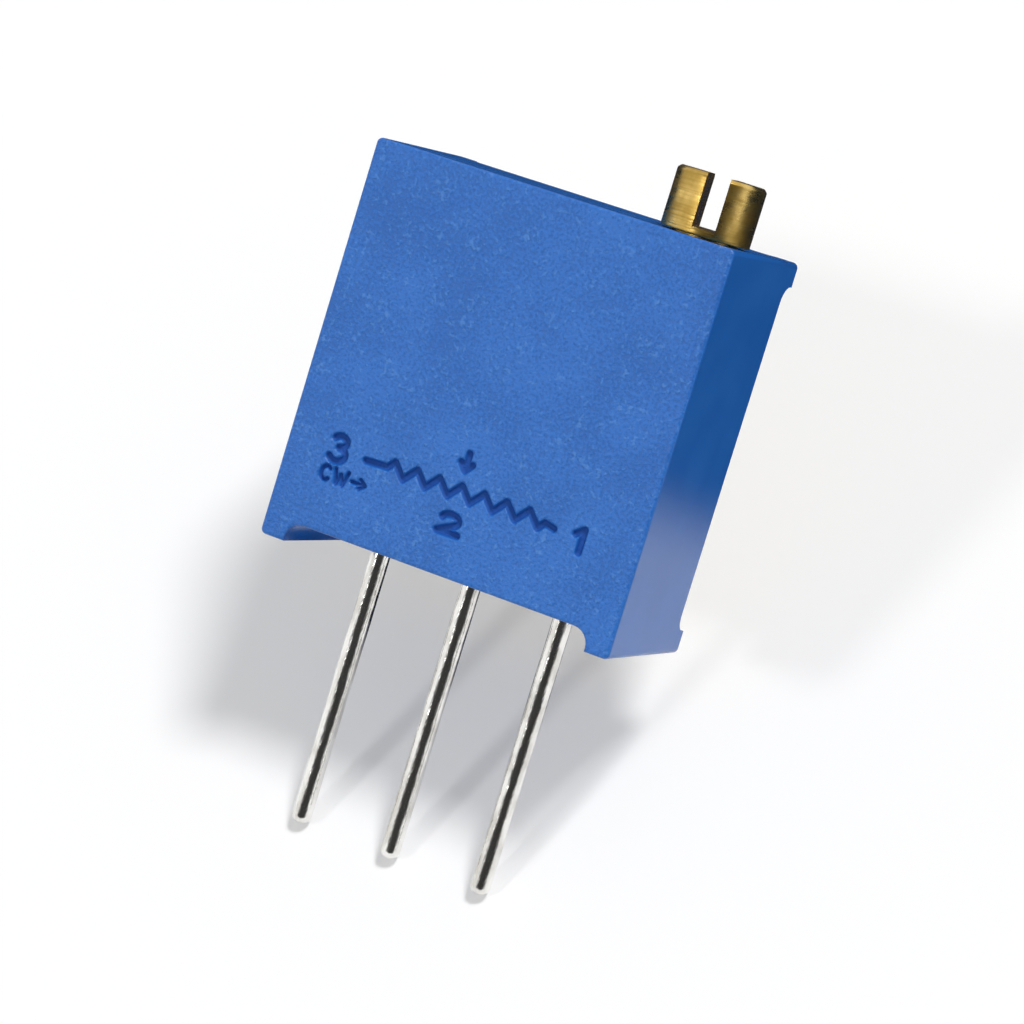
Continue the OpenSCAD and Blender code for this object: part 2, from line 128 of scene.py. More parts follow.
# %% Choose and round edges
half_width, front_y, top_z = case_high[0], case_low[1], case_high[2]
rim_y, rail_h = 1.92, 0.5
front_round, edge_round = 0.1, 0.035
behind_front = front_y + 1.5 * front_round
close = 2e-3


def on_front(a, b):
    """True if both ends of an edge lie on the marked face."""
    return max(abs(a.y - front_y), abs(b.y - front_y)) < close


def on_outside(a, b):
    """True if both ends of an edge lie on the case's outer faces or on the rim at the back, and
    behind the rounded edges of the front."""
    outer = all(abs(p.x) > half_width - close or p.z < rail_h + close or p.z > top_z - close
                or p.y > rim_y - close for p in (a, b))
    return outer and min(a.y, b.y) > behind_front


def round_edges(work, chosen, width, segments=2, sharper_than=35):
    """Rounds the edges that are sharper than an angle and that chosen(a, b) accepts."""
    sharp = [e for e in work.edges if len(e.link_faces) == 2
             and e.calc_face_angle(0) > math.radians(sharper_than)]
    edges = [e for e in sharp if chosen(e.verts[0].co, e.verts[1].co)]
    bmesh.ops.bevel(work, geom=edges, offset=width, segments=segments, profile=0.5,
                    affect="EDGES", clamp_overlap=True)
    print(f"rounded {len(edges)} edges by {width} mm")


print("case in mm:", 2 * half_width, "wide,", top_z, "high, marked face at y", front_y)

# %% [markdown]
# ### The engraved marks
# The face carries terminal numbers, the sign for a resistor with its wiper, and a small arrow
# with CW for clockwise. On the real face they are grooves with soft edges. A font would give
# other shapes than a mould maker's cutter, so each stroke is a line of points that a round cutter
# follows. The depth at a place depends only on how far it is from the nearest stroke, which numpy
# works out for the whole grid at once.


# %% Lines for the marks
def curve(cx, cz, rx, rz, start, stop, steps=12):
    """Points on an ellipse from angle start to angle stop, in degrees."""
    a = np.radians(np.linspace(start, stop, steps))
    return np.column_stack([cx + rx * np.cos(a), cz + rz * np.sin(a)])


def zigzag(x0, x1, z, height, teeth):
    """A line that goes up and down teeth times between x0 and x1, about z."""
    x = np.linspace(x0, x1, 4 * teeth + 1)[np.r_[0, 1:4 * teeth:2, 4 * teeth]]
    lift = np.r_[0, np.tile([1, -1], teeth), 0] * height / 2
    return np.column_stack([x, z + lift])


number_3 = np.vstack([curve(-3.4, 2.75, 0.18, 0.14, 150, -90),
                      curve(-3.4, 2.44, 0.22, 0.17, 80, -150)])
number_2 = np.vstack([curve(-0.08, 1.86, 0.23, 0.14, 165, -45), [[-0.35, 1.55], [0.2, 1.55]]])
number_1 = np.array([[3.07, 2.57], [3.26, 2.72], [3.26, 2.17]])
letter_c = curve(-3.54, 1.93, 0.13, 0.17, 50, 310)
letter_w = np.array([[-3.31, 2.1], [-3.22, 1.76], [-3.13, 2.0], [-3.04, 1.76], [-2.95, 2.1]])
turn_arrow = [np.array([[-2.82, 1.93], [-2.46, 1.93]]),
              np.array([[-2.6, 2.04], [-2.46, 1.93], [-2.6, 1.82]])]
resistor = np.vstack([[[-2.62, 2.53]], zigzag(-2.02, 2.25, 2.56, 0.34, 7), [[2.5, 2.5]]])
wiper_arrow = [np.array([[-0.09, 3.52], [-0.09, 3.12]]),
               np.array([[-0.24, 3.27], [-0.09, 3.1], [0.06, 3.27]])]
bold, fine = 0.075, 0.04
strokes = [(bold, line) for line in (number_3, number_2, number_1, resistor, *wiper_arrow)]
strokes += [(fine, line) for line in (letter_c, letter_w, *turn_arrow)]
print("strokes:", len(strokes))

# %% Depth of the marks
stroke_depth, shoulder_out, shoulder_width = 0.11, 0.045, 0.08


def stroke_distance(x, z):
    """How far (x, z) lies outside the nearest stroke's edge: for each straight bit, the distance
    to the foot of the perpendicular, held between the bit's two ends, less the half width."""
    nearest = np.full(x.shape, np.inf)
    for half, stroke in strokes:
        for (ax, az), (bx, bz) in zip(stroke[:-1], stroke[1:]):
            dx, dz = bx - ax, bz - az
            along = np.clip(((x - ax) * dx + (z - az) * dz) / (dx * dx + dz * dz), 0, 1)
            away = np.hypot(x - ax - along * dx, z - az - along * dz)
            nearest = np.minimum(nearest, away - half)
    return nearest


def smooth_step(t):
    """0 below 0, 1 above 1, and 3t^2 - 2t^3 between."""
    t = np.clip(t, 0, 1)
    return t * t * (3 - 2 * t)


def face_depth(x, z):
    """The marked face: flat, less a groove with a soft shoulder along each stroke."""
    sunk = smooth_step((shoulder_out - stroke_distance(x, z)) / shoulder_width)
    return front_y + stroke_depth * sunk


print("grooves in mm:", stroke_depth, "deep,", 2 * bold, "and", 2 * fine, "wide")

# %% [markdown]
# A flat face has points only at its corners, so it can't be engraved. Cutting marks with a
# Boolean would give them hard edges. Instead the face is taken out of the solid, and a fine grid
# whose depth is given by a function takes its place. The strip between the grid's straight border
# and the face's own outline is filled with triangles that use the points on both sides, so the
# skin stays closed.


# %% Stitch a border to an outline
def inside(polygon, p):
    """True if p is inside the polygon: a ray from p crosses its edges an odd number of times."""
    a, b = polygon, np.roll(polygon, -1, axis=0)
    crosses = (a[:, 1] > p[1]) != (b[:, 1] > p[1])
    with np.errstate(divide="ignore", invalid="ignore"):
        at = (b[:, 0] - a[:, 0]) * (p[1] - a[:, 1]) / (b[:, 1] - a[:, 1]) + a[:, 0]
    return bool(np.count_nonzero(crosses & (p[0] < at)) % 2)


def stitch(work, outline, border, outward):
    """Fills the flat strip between a face's outline and a border inside it with triangles that
    look outward, which is -1 or 1 along Y."""
    loops = outline + border
    flat = [Vector((v.co.x, v.co.z)) for v in loops]
    n, m = len(outline), len(border)
    edges = [(i, (i + 1) % n) for i in range(n)] + [(n + i, n + (i + 1) % m) for i in range(m)]
    # Output type 0 keeps every triangle, also those that lie outside the strip.
    every_triangle, same_point = 0, 1e-7
    coords, _, triangles, origins, _, _ = delaunay_2d_cdt(
        flat, edges, [], every_triangle, same_point)
    outer, inner = np.array([p[:] for p in flat[:n]]), np.array([p[:] for p in flat[n:]])
    for triangle in triangles:
        middle = np.mean([coords[i][:] for i in triangle], axis=0)
        if inside(inner, middle) or not inside(outer, middle):
            continue
        ring = [loops[origins[i][0]] for i in triangle]
        a, b, c = [np.array([v.co.x, v.co.z]) for v in ring]
        turn = (b[0] - a[0]) * (c[1] - a[1]) - (b[1] - a[1]) * (c[0] - a[0])
        work.faces.new(ring if turn * outward < 0 else ring[::-1])


# %% Fill a flat face again with a grid
def grid_faces(rows, cols, wrap=False):
    """Quads of a rows x cols grid, row by row; with wrap the last column joins the first."""
    r, c = np.meshgrid(np.arange(rows - 1), np.arange(cols if wrap else cols - 1), indexing="ij")
    n = (c + 1) % cols
    return np.stack([r * cols + c, r * cols + n, (r + 1) * cols + n, (r + 1) * cols + c],
                    axis=-1).reshape(-1, 4)


def refill(work, face, xs, zs, depth):
    """Replaces a flat face that looks along Y by a grid over xs and zs, whose Y is depth(x, z)."""
    outward = face.normal.y
    outline = [loop.vert for loop in face.loops]
    x, z = [a.ravel() for a in np.meshgrid(xs, zs)]
    patch = [work.verts.new(p) for p in zip(x, depth(x, z), z)]
    rows, cols = len(zs), len(xs)
    for quad in grid_faces(rows, cols):
        ring = [patch[i] for i in quad]
        work.faces.new(ring if outward < 0 else ring[::-1])
    at = np.arange(rows * cols).reshape(rows, cols)
    border = np.concatenate([at[0], at[1:, -1], at[-1, -2::-1], at[-2:0:-1, 0]])
    work.faces.remove(face)
    stitch(work, outline, [patch[i] for i in border], outward)


# %% [markdown]
# A round next to a large flat face would drag a shadow across it, because smooth shading blends
# the normals of all faces at a corner. A Weighted Normal modifier lets the large face win. It could
# stay live, but written into the mesh it is the same wherever the piece goes.


# %% Write a copy as a piece
def bake_modifiers(piece):
    """Adds a Weighted Normal and writes what all the modifiers make into the piece's own mesh."""
    weighted = piece.modifiers.new("normals", "WEIGHTED_NORMAL")
    weighted.keep_sharp = True
    shaped = piece.evaluated_get(bpy.context.evaluated_depsgraph_get())
    mesh = bpy.data.meshes.new_from_object(shaped)
    piece.modifiers.clear()
    piece.data = mesh


def write_copy(work, name, smooth_below=32):
    """Writes a bmesh in mm into a new object in metres."""
    bmesh.ops.scale(work, vec=(MM,) * 3, verts=work.verts)
    mesh = bpy.data.meshes.new(name)
    work.to_mesh(mesh)
    work.free()
    mesh.shade_smooth()
    mesh.set_sharp_from_angle(angle=math.radians(smooth_below))
    piece = bpy.data.objects.new(name, mesh)
    scene.collection.objects.link(piece)
    bake_modifiers(piece)
    print(f"{name}: {len(piece.data.vertices)} points, {len(piece.data.polygons)} faces")
    return piece


# %% [markdown]
# Now the case is built: the copy is rounded, its marked face is set in by a small margin, which
# keeps the rounds whole, and the rest of that face is filled again with the engraved grid.

# %% Build the case
face_margin, along_y = 0.03, 0.999
marks_x, marks_z = np.linspace(-4.1, 4.0, 361), np.linspace(1.3, 4.0, 121)
case_work = cad_copy("housing")
round_edges(case_work, on_front, front_round, 4)
round_edges(case_work, on_outside, edge_round)
front_faces = [f for f in case_work.faces if f.normal.y < -along_y
               and all(abs(v.co.y - front_y) < close for v in f.verts)]
front_face = max(front_faces, key=lambda f: f.calc_area())
print("front faces:", len(front_faces), "area", round(front_face.calc_area(), 2))
bmesh.ops.inset_region(case_work, faces=[front_face], thickness=face_margin, use_even_offset=True)
refill(case_work, front_face, marks_x, marks_z, face_depth)
case = write_copy(case_work, "moulded_case")
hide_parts("housing")
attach(case, "case")

# %% [markdown]
# ## Turned pieces
# The screw and the pins are round. A mesh is an array of points and a list of faces, and on a
# turned piece the points are a grid: a profile turned about an axis, with its last column joined to
# its first. The Screw modifier can turn a profile too, but it keeps one distance from the axis all
# round. A worm and an uneven coat of tin need one that changes with the angle.


# %% Helpers for shells of points and faces
def join_shells(shells):
    """One list of points and one of faces from several (points, faces) shells."""
    points, faces, base = [], [], 0
    for shell_points, shell_faces in shells:
        points.append(np.asarray(shell_points, float))
        faces += [[int(i) + base for i in face] for face in shell_faces]
        base += len(shell_points)
    return np.vstack(points), faces


def make_object(name, shells, smooth_below=30):
    """A Blender object from shells in mm; edges sharper than smooth_below degrees stay crisp."""
    points, faces = join_shells(shells)
    mesh = bpy.data.meshes.new(name)
    mesh.from_pydata((points * MM).tolist(), [], faces)
    mesh.shade_smooth()
    mesh.set_sharp_from_angle(angle=math.radians(smooth_below))
    piece = bpy.data.objects.new(name, mesh)
    scene.collection.objects.link(piece)
    print(f"{name}: {len(mesh.vertices)} points, {len(mesh.polygons)} faces")
    return piece


# %% Turn a profile
def lathe(profile, turns, radius):
    """A closed shell: profile rows (r, z) turned about the Z axis in so many steps, with a flat
    face at each end. radius(r, z, angle) gives each point's distance R from the axis, and the
    point is (R cos(angle), R sin(angle), z)."""
    r, z = np.asarray(profile, float).T
    angle = np.linspace(0, 2 * np.pi, turns, endpoint=False)
    r, z, angle = [a.ravel() for a in np.broadcast_arrays(r[:, None], z[:, None], angle)]
    r = radius(r, z, angle)
    ring = np.column_stack([r * np.cos(angle), r * np.sin(angle), z])
    rows = len(profile)
    faces = grid_faces(rows, turns, wrap=True).tolist()
    faces.append(list(range(turns))[::-1])
    faces.append(list(range((rows - 1) * turns, rows * turns)))
    return ring, faces


# %% [markdown]
# ## The adjusting screw
# One piece of brass, turned on a lathe, with a worm cut in its middle and a slot sawn in its
# head. The Screw modifier could wind a thread, but its ends would hang open. Here the whole
# surface is one distance from the axis that depends on the height and, along the worm, also on
# the angle: the thread moves up one pitch for each turn, in step with the wheel. The slot is then
# cut with a Boolean, as the saw cuts it.

# %% The worm
wheel_z, wheel_r, wheel_teeth = 5.265, 2.835, 33
worm_root, worm_tip, worm_reach = 0.51, 0.78, 1.6
worm_z0, worm_z1 = wheel_z - worm_reach, wheel_z + worm_reach
worm_pitch = 2 * math.pi * wheel_r / wheel_teeth
flank = math.tan(math.radians(20))
half_at_pitch, tip_rise = 0.12, 0.12
thread_half = half_at_pitch - tip_rise * flank
thread_inset = 1e-5


def screw_radius(r, z, angle):
    """Along the worm: the tip radius near the thread's middle, falling at 20 degrees to the root.
    The thread's middle faces the wheel at the wheel's height and climbs one pitch a turn."""
    phase = (z - wheel_z) / worm_pitch - (angle - math.pi) / (2 * math.pi)
    away = np.abs(phase - np.round(phase)) * worm_pitch
    thread = np.clip(worm_tip - (away - thread_half) / flank, worm_root, worm_tip)
    on_worm = (z > worm_z0 + thread_inset / 2) & (z < worm_z1 - thread_inset / 2)
    return np.where(on_worm, thread, r)


print("worm pitch in mm:", round(worm_pitch, 4))

# %% The turned shape
screw_low, screw_high = node_box("adjusting_screw")
screw_x, screw_y = [(screw_low[i] + screw_high[i]) / 2 for i in (0, 1)]
screw_foot, screw_top = screw_low[2], screw_high[2]
centre_r, foot_r, journal_r, head_r = 0.001, 0.42, 0.8, (screw_high[0] - screw_low[0]) / 2
clip_r, clip_z0, clip_z1 = 0.4, 8.5, 8.76
seal_r, seal_z0, seal_z1 = 0.5, 9.15, 9.51
head_z, chamfer = 10.08, 0.08
foot_round, turned_round = 0.04, 0.03
steps_around, thread_steps = 144, 150


def rounded(profile, radius, steps=3):
    """The profile with each inner corner replaced by points on a small parabola, which leaves
    and meets the two sides at radius from the corner, or at a third of a shorter side."""
    profile = np.asarray(profile, float)
    rows = [profile[0]]
    for before, corner, after in zip(profile[:-2], profile[1:-1], profile[2:]):
        back, ahead = before - corner, after - corner
        reach = min(radius, np.linalg.norm(back) / 3, np.linalg.norm(ahead) / 3)
        a, b = corner + unit(back) * reach, corner + unit(ahead) * reach
        t = np.linspace(0, 1, steps + 1)[:, None]
        rows += list((1 - t) ** 2 * a + 2 * t * (1 - t) * corner + t ** 2 * b)
    return np.array(rows + [profile[-1]])


lower = rounded([(centre_r, screw_foot), (foot_r, screw_foot), (foot_r, worm_z0),
                 (worm_root, worm_z0)], foot_round)
thread_z = np.linspace(worm_z0 + thread_inset, worm_z1 - thread_inset, thread_steps)
thread_rows = np.column_stack([np.full(thread_steps, worm_root), thread_z])
upper = rounded([(worm_root, worm_z1), (journal_r, worm_z1), (journal_r, clip_z0),
                 (clip_r, clip_z0), (clip_r, clip_z1), (journal_r, clip_z1),
                 (journal_r, seal_z0), (seal_r, seal_z0), (seal_r, seal_z1),
                 (journal_r, seal_z1), (journal_r, head_z), (head_r, head_z),
                 (head_r, screw_top - chamfer), (head_r - chamfer, screw_top),
                 (centre_r, screw_top)], turned_round)
profile = np.vstack([lower, thread_rows, upper])
screw = make_object("brass_screw", [lathe(profile, steps_around, screw_radius)])

# %% Saw the slot
slot_half, slot_floor, slot_turn = 0.28, 10.25, math.radians(15)
saw_reach, saw_top = 2, 13
burr_round, burr_angle = 0.018, math.radians(50)


def box_shell(low, high):
    """The eight corners and six faces of a box."""
    corners = np.array([[x, y, z] for x in (low[0], high[0]) for y in (low[1], high[1])
                        for z in (low[2], high[2])])
    faces = [[0, 1, 3, 2], [4, 6, 7, 5], [0, 4, 5, 1], [2, 3, 7, 6], [0, 2, 6, 4], [1, 5, 7, 3]]
    return corners, faces


slot_points, slot_faces = box_shell((-slot_half, -saw_reach, slot_floor),
                                    (slot_half, saw_reach, saw_top))
spin = np.array([[math.cos(slot_turn), -math.sin(slot_turn), 0],
                 [math.sin(slot_turn), math.cos(slot_turn), 0], [0, 0, 1]])
saw = make_object("saw", [(slot_points @ spin.T, slot_faces)])
cut = screw.modifiers.new("slot", "BOOLEAN")
cut.operation = "DIFFERENCE"
cut.object = saw
cut.solver = "EXACT"
edge = screw.modifiers.new("edges", "BEVEL")
edge.width = burr_round * MM
edge.segments = 2
edge.limit_method = "ANGLE"
edge.angle_limit = burr_angle
edge.use_clamp_overlap = True
bake_modifiers(screw)
screw.data.transform(Matrix.Translation(Vector((screw_x, screw_y, 0)) * MM))
bpy.data.objects.remove(saw)
print("screw after the slot:", len(screw.data.polygons), "faces")
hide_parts("adjusting_screw")
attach(screw, "screw")

# %% [markdown]
# ## The pins
# Copper wire dipped in molten tin. The coat is never quite even: it is a little thicker in long
# soft waves and ends in a small rounded bead where it ran off the tip. A plain cylinder would
# give one straight reflection, and a bump alone would leave the outline straight, so the waves
# are in the mesh: the radius is a function of height and angle. The fork inside the case is kept
# from the CAD.

# %% The shape of a pin
pin_tip = node_box("terminal_1")[0][2]
pin_r, pin_top, bead_h = 0.255, 0.6, 0.22
tip_r, above_bead, below_top = 0.02, 0.08, 0.02
tip_rows, pin_rows, pin_steps = 12, 90, 40
coat_loss, phase_step = 0.02, 2.3


def pin_profile():
    """Radii and heights along a quarter of an ellipse, which makes the rounded tip, and then
    straight up to the notch in the rim."""
    a = np.linspace(0, np.pi / 2, tip_rows)
    tip = np.column_stack([np.maximum(pin_r * np.sin(a), tip_r),
                           pin_tip + bead_h * (1 - np.cos(a))])
    z = np.linspace(pin_tip + bead_h + above_bead, pin_top - below_top, pin_rows)
    return np.vstack([tip, np.column_stack([np.full(pin_rows, pin_r), z])])


def tin_coat(seed):
    """A radius that loses up to 4% in long waves, different for each seed: three sine waves of
    height and angle are added and divided by their greatest sum."""
    shift = phase_step * seed

    def radius(r, z, angle):
        wave = np.sin(1.9 * z + shift) * np.cos(angle + 0.6 * z + shift)
        wave += 0.6 * np.sin(4.3 * z - shift)
        wave += 0.7 * np.sin(2 * angle - 1.1 * z + shift)
        return r * (1 - coat_loss * (1 + wave / (1 + 0.6 + 0.7)))
    return radius


print("pins in mm:", 2 * pin_r, "thick, tips at z", pin_tip)

# %% Build the pins
fork_z = pin_top - 0.05


def cad_faces(node, keep):
    """The faces of a CAD node, in mm, whose middle is one that keep accepts."""
    work = cad_copy(node)
    bmesh.ops.delete(work, geom=[f for f in work.faces if not keep(f.calc_center_median())],
                     context="FACES")
    work.verts.index_update()
    shell = (np.array([v.co[:] for v in work.verts]),
             [[v.index for v in f.verts] for f in work.faces])
    work.free()
    return shell


pins = []
for number in (1, 2, 3):
    node = f"terminal_{number}"
    pin_low, pin_high = node_box(node)
    pin_x = (pin_low[0] + pin_high[0]) / 2
    points, faces = lathe(pin_profile(), pin_steps, tin_coat(number))
    fork = cad_faces(node, lambda middle: middle.z > fork_z)
    pin = make_object(f"pin_{number}", [(points + [pin_x, 0, 0], faces), fork])
    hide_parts(node)
    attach(pin, "case")
    pins.append(pin)

# %% [markdown]
# ## The resin
# The back of the case is filled with resin, which creeps up the walls before it sets and sinks a
# little in the middle. A bump could fake the slow ripple, but not the raised rim, which shows
# against the light. So the top face of the CAD solid is filled again with a grid whose height
# falls off with the distance from the walls.

# %% Build the resin
cup_half, resin_y, cup_z1 = node_box("epoxy_seal")[1]
cup_z0, cup_margin, cup_steps = 1.1, 0.03, 120
sink, creep, creep_width, ripple = 0.03, 0.065, 0.3, 0.006


def resin_height(x, z):
    """Sunk below the CAD's face, with a rise at the walls that falls off exponentially and a
    slow ripple made of two crossed waves."""
    wall = np.minimum(cup_half - np.abs(x), np.minimum(z - cup_z0, cup_z1 - z))
    wave = np.sin(1.3 * x + 0.5) * np.cos(1.1 * z) + 0.5 * np.sin(2.1 * z + 1.7 * x)
    return resin_y - sink + creep * np.exp(-wall / creep_width) + ripple * wave


resin_work = cad_copy("epoxy_seal")
resin_faces = [f for f in resin_work.faces
               if f.normal.y > along_y and f.calc_center_median().y > resin_y - close]
resin_top = max(resin_faces, key=lambda f: f.calc_area())
print("resin faces:", len(resin_faces), "area", round(resin_top.calc_area(), 2))
refill(resin_work, resin_top,
       np.linspace(-cup_half + cup_margin, cup_half - cup_margin, cup_steps),
       np.linspace(cup_z0 + cup_margin, cup_z1 - cup_margin, cup_steps), resin_height)
resin = write_copy(resin_work, "resin")
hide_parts("epoxy_seal")
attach(resin, "case")

# %% [markdown]
# ## Shader maths as Python
# A material is easier to read as a formula than as a web of nodes. The class below wraps one
# socket. Its operators add Math nodes, and one method adds any other node.


# %% A socket that does sums
class Value:
    """A shader socket in a Python expression."""

    def __init__(self, tree, socket):
        self.tree, self.socket = tree, socket

    def node(self, kind, settings=None, inputs=None, output=0):
        """Adds a node: settings are set first, then inputs by name or number."""
        made = self.tree.nodes.new(kind)
        for key, value in (settings or {}).items():
            setattr(made, key, value)
        for key, value in (inputs or {}).items():
            if isinstance(value, Value):
                self.tree.links.new(value.socket, made.inputs[key])
            else:
                made.inputs[key].default_value = value
        return Value(self.tree, made.outputs[output])

    def math(self, operation, *values):
        """Adds a Math node."""
        return self.node("ShaderNodeMath", {"operation": operation}, dict(enumerate(values)))

    def __add__(self, other):
        return self.math("ADD", self, other)

    __radd__ = __add__

    def __sub__(self, other):
        return self.math("SUBTRACT", self, other)

    def __rsub__(self, other):
        return self.math("SUBTRACT", other, self)

    def __mul__(self, other):
        return self.math("MULTIPLY", self, other)

    __rmul__ = __mul__

    def __truediv__(self, other):
        return self.math("DIVIDE", self, other)

    def __rtruediv__(self, other):
        return self.math("DIVIDE", other, self)

    def between(self, low, high):
        """0 below low, 1 above high and a smooth step from one to the other."""
        return self.node("ShaderNodeMapRange", {"interpolation_type": "SMOOTHSTEP"},
                         {"Value": self, "From Min": low, "From Max": high})

    def mix(self, first, second):
        """The colour first where the value is 0 and second where it is 1."""
        return self.node("ShaderNodeMix", {"data_type": "RGBA"}, {0: self, 6: first, 7: second}, 2)


# %% A finish for a piece
class Finish:
    """A material with one Principled shader. Values that are the same all over are set on its
    own sockets, and drive() feeds a socket that changes over the surface."""

    def __init__(self, name, **constants):
        self.material = bpy.data.materials.new(name)
        self.material.use_nodes = True
        self.tree = self.material.node_tree
        self.shader = self.tree.nodes["Principled BSDF"]
        for key, value in constants.items():
            self.shader.inputs[key.replace("_", " ")].default_value = value
        self.start = Value(self.tree, None)
        self.place = self.start.node("ShaderNodeTexCoord", output="Object")

    def drive(self, socket, value):
        """Feeds one of the shader's sockets, by its name."""
        self.tree.links.new(value.socket, self.shader.inputs[socket])

    def noise(self, size, detail=2.0, stretch=(1, 1, 1)):
        """Noise with features about size mm across, stretched along an axis by its factor."""
        where = self.start.node("ShaderNodeMapping", inputs={
            "Vector": self.place, "Scale": tuple(1 / (s * size * MM) for s in stretch)})
        return self.start.node("ShaderNodeTexNoise", inputs={
            "Vector": where, "Scale": 1.0, "Detail": detail})

    def bump(self, height, depth):
        """Tilts the normal as a relief of height (0 to 1) times depth mm would."""
        self.drive("Normal", self.start.node("ShaderNodeBump", inputs={
            "Height": height, "Distance": depth * MM, "Strength": 1.0}))


def dress(piece, finish):
    """Gives the piece its finish."""
    piece.data.materials.clear()
    piece.data.materials.append(finish.material)
    print(f"{piece.name} wears {finish.material.name}")


# %% [markdown]
# ## Finishes
# Each finish is worked out from Object coordinates, in millimetres, so it needs no unwrapped
# picture and is the same at every distance.
#
# ### Blue plastic
# The face with the marks comes out of the mould matt, with a fine grain and paler specks where
# the glass comes to the surface. The other faces are smoother, and their deeper blue is painted
# shade on the same plastic. They could be two materials, but one with masks has no hard border
# at the rounded edges.
#
# One mask tells the faces apart by where the surface looks. Another finds the grooves by how deep
# they lie behind the face, and stops short of the rounded edges and of what lies deeper.

# %% Masks of the case
blue = Finish("blue_plastic")
facing = blue.start.node("ShaderNodeNewGeometry", output="Normal")
to_front = blue.start.node("ShaderNodeSeparateXYZ", inputs={0: facing}, output=1) * -1
on_face = to_front.between(0.5, 0.9)
spot_x, spot_y = [blue.start.node("ShaderNodeSeparateXYZ", inputs={0: blue.place}, output=i) / MM
                  for i in (0, 1)]
groove_from, groove_full, past_groove, past_marks = 0.02, 0.09, stroke_depth + 0.02, 4.2
behind = spot_y - front_y
sunk = behind.between(groove_from, groove_full) * (
    1 - behind.between(past_groove, past_groove + 0.01))
aside = spot_x.math("ABSOLUTE", spot_x)
groove = sunk * (1 - aside.between(past_marks, past_marks + 0.1))
print("masks of the case:", len(blue.tree.nodes), "nodes")

# %% [markdown]
# Three patterns of noise make the tones. Fine grain is the texture of the mould, slow clouds are
# the uneven flow of the plastic, and specks are the glass. In the grooves the plastic is rougher,
# and a darker blue there is painted shade. A picture could carry all this, but noise needs no file
# and no unwrapping.

# %% Blue moulded plastic
face_dark, face_light = (0.008, 0.128, 0.50, 1), (0.022, 0.178, 0.64, 1)
# The smoother faces are given a darker blue than the marked face: painted shade.
shaded_side_dark, shaded_side_light = (0.008, 0.118, 0.465, 1), (0.011, 0.134, 0.50, 1)
speck_blue, groove_shade_blue = (0.10, 0.30, 0.76, 1), (0.001, 0.064, 0.36, 1)
grain, cloud = blue.noise(0.08, 2.0), blue.noise(1.8, 2.0)
speck = (blue.noise(0.12, 3.0) * 0.7 + blue.noise(0.5, 2.0) * 0.3).between(0.52, 0.66) * on_face
matt_tone = (cloud * 0.35 + grain * 0.65).between(0.40, 0.60).mix(face_dark, face_light)
shaded_side_tone = cloud.between(0.3, 0.7).mix(shaded_side_dark, shaded_side_light)
tone = (speck * 0.55).mix(on_face.mix(shaded_side_tone, matt_tone), speck_blue)
# In the grooves the colour turns to a darker blue: painted shade.
blue.drive("Base Color", (groove * 0.85).mix(tone, groove_shade_blue))
rough = on_face * (grain * 0.25 + 0.32) + (1 - on_face) * (cloud * 0.1 + 0.2)
blue.drive("Roughness", rough + groove * 0.35)
blue.bump((grain * 0.75 + speck * 0.25) * (on_face * 0.95 + 0.05), 0.035)
dress(case, blue)

# %% [markdown]
# ### Turned brass
# The lathe tool leaves fine rings around the screw, and handling leaves brown stains. An
# anisotropic shader could give the stretched gloss of the rings, but not their lines. A noise
# that is stretched far across the axis and hardly along it gives both. Slow stains turn bright
# brass into brown, rougher brass.

# %% Turned brass
bright_brass, brown_brass = (0.74, 0.52, 0.17, 1), (0.42, 0.27, 0.06, 1)
brass = Finish("turned_brass", Metallic=1.0)
lines = brass.noise(0.05, 3.0, stretch=(60, 60, 1.2))
stain = brass.noise(0.6, 3.0)
tarnish = (stain * 0.7 + lines * 0.3).between(0.35, 0.65)
brass.drive("Base Color", tarnish.mix(bright_brass, brown_brass))
brass.drive("Roughness", tarnish * 0.18 + 0.22)
brass.bump(lines, 0.012)
dress(screw, brass)

# %% [markdown]
# ### Dipped tin
# Molten tin sets with a bright, slightly wrinkled skin that runs along the wire, with greyer
# patches. The wrinkles are too fine for the mesh, which has the long waves. One noise, stretched
# along the pin, gives the colour, the gloss and the relief, because on the real wire the grey
# patches are also the duller ones.

# %% Hot-dipped tin
bright_tin, grey_tin = (0.90, 0.89, 0.86, 1), (0.66, 0.64, 0.60, 1)
tin = Finish("dipped_tin", Metallic=1.0)
skin = tin.noise(0.3, 3.0, stretch=(1, 1, 2.5))
tin.drive("Base Color", skin.between(0.35, 0.7).mix(bright_tin, grey_tin))
tin.drive("Roughness", skin * 0.2 + 0.06)
tin.bump(skin, 0.03)
for pin in pins:
    dress(pin, tin)

# %% [markdown]
# ### Cast resin
# Potting resin is cloudy and light brown, and sets with a weak gloss of its own. Light that
# scatters inside it could be worked out too, but a filled resin lets hardly any through. So the
# gloss is a thin coat over a duller body whose colour and roughness change in slow swirls.

# %% Cast resin
pale_resin, brown_resin = (0.62, 0.52, 0.32, 1), (0.52, 0.42, 0.24, 1)
cast = Finish("cast_resin", Coat_Weight=0.2)
swirl = cast.noise(1.1, 4.0)
cast.drive("Base Color", swirl.between(0.3, 0.7).mix(pale_resin, brown_resin))
cast.drive("Roughness", swirl * 0.25 + 0.18)
cast.bump(cast.noise(0.25, 3.0), 0.006)
dress(resin, cast)

# %% [markdown]
# ### Pieces inside the case
# The seal ring, the clip, the wheel with its wiper, and the plate with its printed films keep
# their CAD shapes, which are right, and are seen only when the case is opened or hidden. One
# plain colour each would do, but each gets the look of its own material: two tones, a roughness
# that varies a little and a fine relief. One function makes them all.


